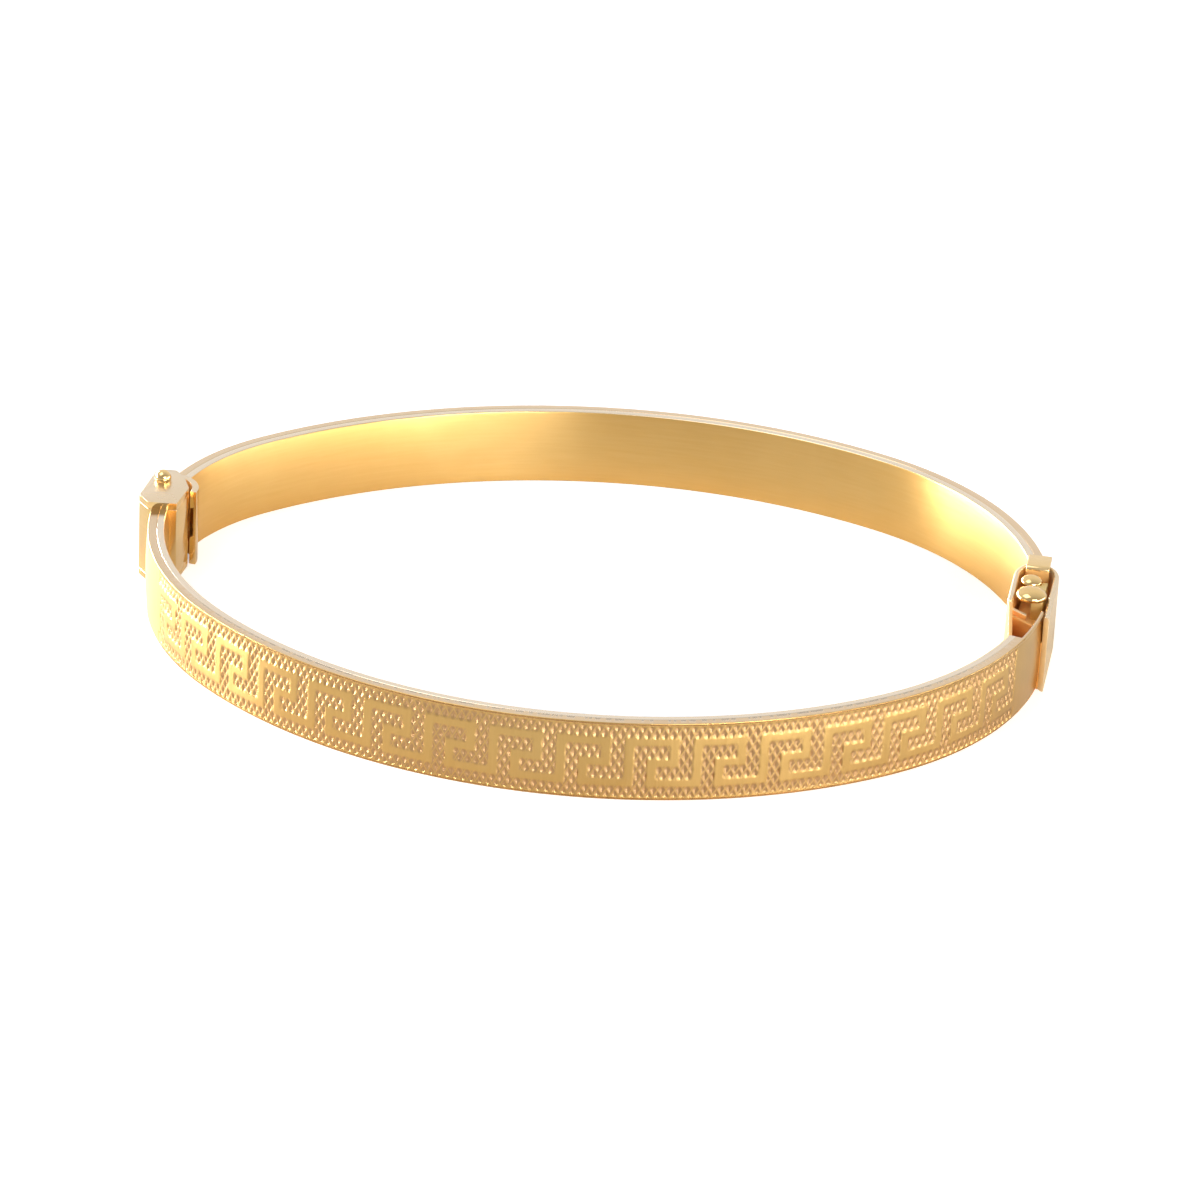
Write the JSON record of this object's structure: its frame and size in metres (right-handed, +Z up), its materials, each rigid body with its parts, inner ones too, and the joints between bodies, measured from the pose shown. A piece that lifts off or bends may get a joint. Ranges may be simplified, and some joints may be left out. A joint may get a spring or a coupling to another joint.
{
  "type": "hinged bangle bracelet",
  "caption": "Oval hinged bangle in yellow metal: a hollow front half engraved with a Greek key, a polished rear half, a round-headed hinge pin and a sprung box clasp.",
  "frame": {"origin": "middle of the closed bangle's box, on the plane that its lower rim rests on", "axes": "+X from the hinge to the clasp, +Y from the engraved front half to the rear half, +Z up along the wrist opening"},
  "size_m": [0.0634, 0.0512, 0.0068],
  "materials": {
    "polished_gold": "polished",
    "engraved_gold": "satin, engraved",
    "liner_gold": "polished",
    "inside_gold": "bright, unpolished"
  },
  "bodies": {
    "rear_half": {"rear_outer_shell": "polished_gold", "rear_inner_liner": "liner_gold", "rear_hinge_collar": "polished_gold", "rear_hinge_knuckle": "inside_gold", "clasp_box": "polished_gold", "clasp_box_floor": "inside_gold", "clasp_mouth_plate": "polished_gold", "clasp_keeper_tab": "polished_gold"},
    "front_half": {"front_outer_shell": "engraved_gold", "front_inner_liner": "liner_gold", "front_end_box": "inside_gold", "front_end_plate": "inside_gold", "hinge_block": "polished_gold", "hinge_top_plate": "polished_gold", "hinge_bottom_plate": "polished_gold", "hinge_pin": "polished_gold", "tongue_lower_leaf": "inside_gold"},
    "catch_leaf": {"tongue_upper_leaf": "inside_gold", "thumb_spine": "inside_gold", "thumb_knob": "polished_gold", "thumb_bead": "polished_gold"}
  },
  "joints": [
    {"name": "hinge", "type": "hinge", "parent": "rear_half", "child": "front_half", "pos_m": [-0.0306, 0.00269, 0], "axis": [0, 0, -1], "range_deg": [0, 65]},
    {"name": "thumb_catch", "type": "hinge", "parent": "front_half", "child": "catch_leaf", "pos_m": [0.03003, 0.00536, 0.00275], "axis": [1, 0, 0], "range_deg": [0, 5], "stiffness_Nm_per_rad": 0.02}
  ]
}
